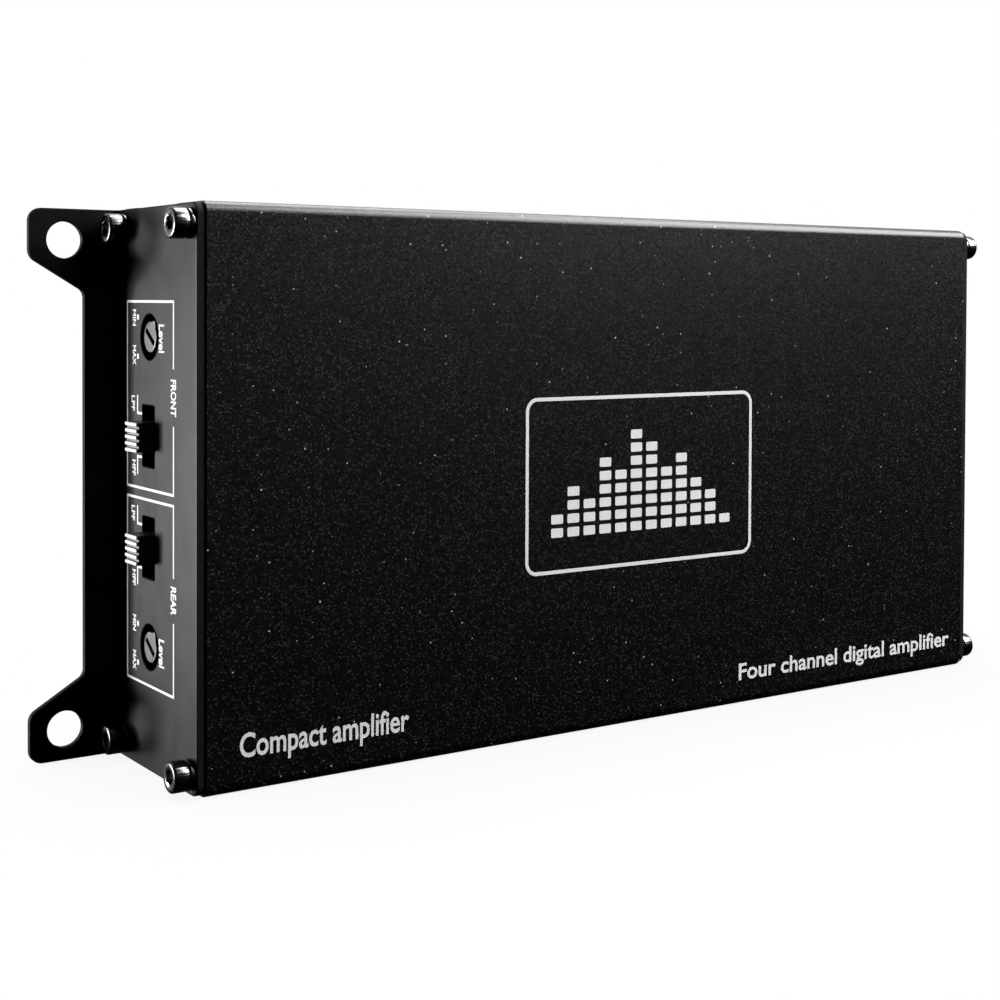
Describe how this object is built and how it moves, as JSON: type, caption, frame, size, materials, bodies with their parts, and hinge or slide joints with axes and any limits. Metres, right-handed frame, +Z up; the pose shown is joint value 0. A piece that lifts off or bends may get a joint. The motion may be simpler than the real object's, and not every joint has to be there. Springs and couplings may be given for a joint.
{
  "type": "car amplifier",
  "caption": "Compact car audio amplifier in a black extruded housing, with end panels bent into mounting ears, level and filter controls at one end and connectors at the other.",
  "frame": {"origin": "centre of the amplifier's footprint as it stands on one long narrow side (bounding box centre in X and Y, lowest point in Z)", "axes": "+X along the extrusion from the control end to the connector end, +Y from the printed face to the mounting plane, +Z up across the width"},
  "size_m": [0.237, 0.039, 0.106],
  "materials": {
    "black_powder_coat": "black powder coat with a fine sparkling grain over aluminium",
    "grey_satin_steel": "satin dark grey paint on steel sheet",
    "black_steel": "black nickel plated steel",
    "nickel": "bright nickel",
    "black_plastic": "satin black moulded plastic",
    "grey_shaft_plastic": "mid grey moulded plastic",
    "red_plastic": "glossy red",
    "white_plastic": "glossy white",
    "amber_plastic": "translucent amber",
    "blue_lens": "clear blue",
    "board_laminate": "green solder mask on glass laminate",
    "copper_winding": "enamelled copper wire",
    "can_sleeve": "black sleeve on an aluminium can",
    "ferrite_grey": "matt grey ferrite",
    "heat_pad_grey": "matt grey silicone",
    "bare_aluminium": "mill finish"
  },
  "bodies": {
    "amplifier": {"extruded_housing": "black_powder_coat", "control_end_panel": "grey_satin_steel", "control_end_screw_1": "black_steel", "control_end_washer_1": "black_steel", "control_end_screw_2": "black_steel", "control_end_washer_2": "black_steel", "control_end_screw_3": "black_steel", "control_end_washer_3": "black_steel", "control_end_screw_4": "black_steel", "control_end_washer_4": "black_steel", "connector_end_panel": "grey_satin_steel", "connector_end_screw_1": "black_steel", "connector_end_washer_1": "black_steel", "connector_end_screw_2": "black_steel", "connector_end_washer_2": "black_steel", "connector_end_screw_3": "black_steel", "connector_end_washer_3": "black_steel", "connector_end_screw_4": "black_steel", "connector_end_washer_4": "black_steel", "front_level_pot": "black_plastic", "front_filter_switch": "black_plastic", "front_amplifier_chip": "black_plastic", "rear_level_pot": "black_plastic", "rear_filter_switch": "black_plastic", "rear_amplifier_chip": "black_plastic", "rca_block": "black_plastic", "rca_sleeve_1": "nickel", "rca_core_1": "red_plastic", "supply_capacitor_1": "can_sleeve", "output_inductor_1": "ferrite_grey", "rca_sleeve_2": "nickel", "rca_core_2": "white_plastic", "supply_capacitor_2": "can_sleeve", "output_inductor_2": "ferrite_grey", "rca_sleeve_3": "nickel", "rca_core_3": "red_plastic", "supply_capacitor_3": "can_sleeve", "output_inductor_3": "ferrite_grey", "rca_sleeve_4": "nickel", "rca_core_4": "white_plastic", "supply_capacitor_4": "can_sleeve", "output_inductor_4": "ferrite_grey", "speaker_header": "black_plastic", "power_header": "black_plastic", "fuse_holder": "black_plastic", "blade_fuse": "amber_plastic", "power_led": "blue_lens", "main_circuit_board": "board_laminate", "supply_toroid": "copper_winding", "supply_transistor_1": "black_plastic", "supply_transistor_2": "black_plastic", "heat_pad": "heat_pad_grey", "clamp_bar": "bare_aluminium", "clamp_screw_1": "black_steel", "clamp_screw_2": "black_steel"},
    "front_level": {"front_level_shaft": "grey_shaft_plastic"},
    "rear_level": {"rear_level_shaft": "grey_shaft_plastic"},
    "front_filter": {"front_filter_knob": "black_plastic"},
    "rear_filter": {"rear_filter_knob": "black_plastic"}
  },
  "joints": [
    {"name": "front_level_turn", "type": "hinge", "parent": "amplifier", "child": "front_level", "pos_m": [-0.1011, 0.00225, 0.0815], "axis": [1, 0, 0], "range_deg": [-85, 195]},
    {"name": "rear_level_turn", "type": "hinge", "parent": "amplifier", "child": "rear_level", "pos_m": [-0.1011, 0.00225, 0.0235], "axis": [1, 0, 0], "range_deg": [-85, 195]},
    {"name": "front_filter_slide", "type": "slide", "parent": "amplifier", "child": "front_filter", "axis": [0, 0, 1], "range_m": [-0.0028, 0.0028]},
    {"name": "rear_filter_slide", "type": "slide", "parent": "amplifier", "child": "rear_filter", "axis": [0, 0, 1], "range_m": [-0.0028, 0.0028]}
  ]
}
